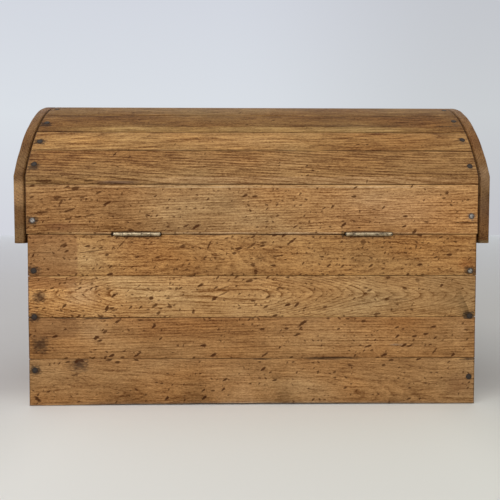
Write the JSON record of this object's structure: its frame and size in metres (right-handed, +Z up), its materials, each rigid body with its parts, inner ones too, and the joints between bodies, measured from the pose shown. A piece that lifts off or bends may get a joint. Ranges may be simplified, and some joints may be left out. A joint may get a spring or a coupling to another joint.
{
  "type": "domed plank chest",
  "caption": "Domed oak plank chest with a coopered slat lid between overhanging end boards, hinged at the back on butt hinges.",
  "frame": {"origin": "centre of the overall bounding box at floor level", "axes": "+X to the chest's right seen from its front, along its length; the front faces -Y and the hinged back +Y; +Z up"},
  "size_m": [0.92, 0.5106, 0.62],
  "materials": {
    "body_oak": "waxed honey-brown oak, worn",
    "lid_oak": "waxed honey-brown oak, worn",
    "cheek_oak": "waxed dark olive-brown oak, worn",
    "inner_oak": "dry unwaxed oak",
    "hinge_brass": "dull, slightly tarnished",
    "pin_steel": "dull",
    "nail_iron": "dark hammered iron, partly rubbed bright"
  },
  "bodies": {
    "body": {"back_plank_1": "body_oak", "back_plank_2": "body_oak", "back_plank_3": "body_oak", "back_plank_4": "body_oak", "front_plank_1": "body_oak", "front_plank_2": "body_oak", "front_plank_3": "body_oak", "front_plank_4": "body_oak", "left_end_plank_1": "body_oak", "left_end_plank_2": "body_oak", "left_end_plank_3": "body_oak", "left_end_plank_4": "body_oak", "right_end_plank_1": "body_oak", "right_end_plank_2": "body_oak", "right_end_plank_3": "body_oak", "right_end_plank_4": "body_oak", "floor_batten_1": "inner_oak", "floor_batten_2": "inner_oak", "floor_batten_3": "inner_oak", "floor_board_1": "inner_oak", "floor_board_2": "inner_oak", "floor_board_3": "inner_oak", "floor_board_4": "inner_oak", "hinge_body_leaf_left": "hinge_brass", "hinge_body_leaf_right": "hinge_brass", "hinge_pin_left": "pin_steel", "hinge_pin_right": "pin_steel", "wall_nail_right_1": "nail_iron", "wall_nail_right_2": "nail_iron", "wall_nail_right_3": "nail_iron", "wall_nail_left_1": "nail_iron", "wall_nail_left_2": "nail_iron", "wall_nail_left_3": "nail_iron"},
    "lid": {"lid_back_board": "lid_oak", "lid_front_board": "lid_oak", "lid_slat_1": "lid_oak", "lid_slat_2": "lid_oak", "lid_slat_3": "lid_oak", "lid_slat_4": "lid_oak", "lid_slat_5": "lid_oak", "lid_slat_6": "lid_oak", "lid_slat_7": "lid_oak", "lid_slat_8": "lid_oak", "lid_slat_9": "lid_oak", "lid_inner_end_left": "inner_oak", "lid_inner_end_right": "inner_oak", "lid_cheek_left": "cheek_oak", "lid_cheek_right": "cheek_oak", "hinge_lid_leaf_left": "hinge_brass", "hinge_lid_leaf_right": "hinge_brass", "lid_board_nail_right": "nail_iron", "lid_board_nail_left": "nail_iron", "slat_nail_right_1": "nail_iron", "slat_nail_right_2": "nail_iron", "slat_nail_right_3": "nail_iron", "slat_nail_left_1": "nail_iron", "slat_nail_left_2": "nail_iron", "slat_nail_left_3": "nail_iron"}
  },
  "joints": [
    {"name": "lid_hinge", "type": "hinge", "parent": "body", "child": "lid", "pos_m": [0, 0.25135, 0.3332], "axis": [-1, 0, 0], "range_deg": [0, 100]}
  ]
}
